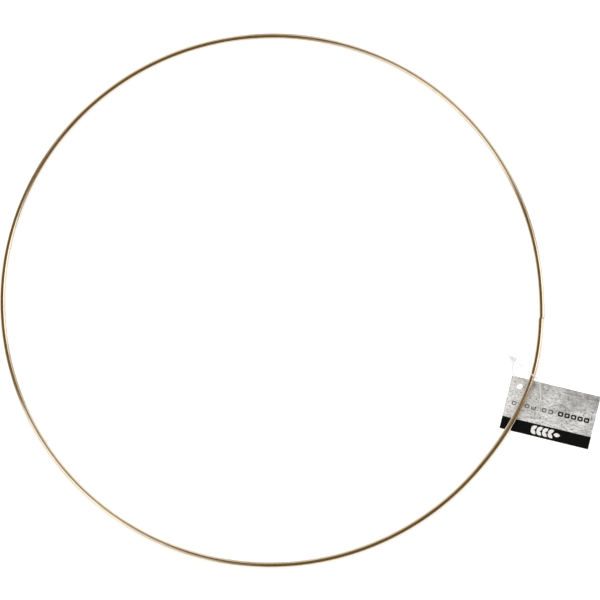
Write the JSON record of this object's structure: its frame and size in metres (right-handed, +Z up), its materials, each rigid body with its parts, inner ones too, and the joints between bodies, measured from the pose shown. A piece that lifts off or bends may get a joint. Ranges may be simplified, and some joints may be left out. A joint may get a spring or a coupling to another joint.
{
  "type": "wire wreath hoop",
  "caption": "Slim brass-coloured wire wreath hoop, a closed welded ring to bind greenery to, with a printed card hang tag on a clear plastic loop-lock fastener.",
  "frame": {"origin": "centre of the hoop, in the mid-plane of its wire", "axes": "+Z up along the hoop's axis, +X to the side where the tag lies, +Y across"},
  "size_m": [0.3312, 0.3, 0.0074],
  "materials": {
    "brass_wire": "polished",
    "printed_card": "satin",
    "clear_plastic": "gloss"
  },
  "bodies": {
    "hoop": {"wire_hoop": "brass_wire"},
    "fastener": {"loop_filament": "clear_plastic", "lock_head": "clear_plastic", "arrow_pin": "clear_plastic"},
    "tag": {"tag_card": "printed_card"}
  },
  "joints": [
    {"name": "loop_travel", "type": "hinge", "parent": "hoop", "child": "fastener", "pos_m": [0, 0, 0], "axis": [0, 0, 1], "continuous": true},
    {"name": "tag_swivel", "type": "hinge", "parent": "fastener", "child": "tag", "pos_m": [0.13695, -0.04998, -0.00303], "axis": [-0.0118, -0.0474, 0.9988], "range_deg": [-105, 60]}
  ]
}
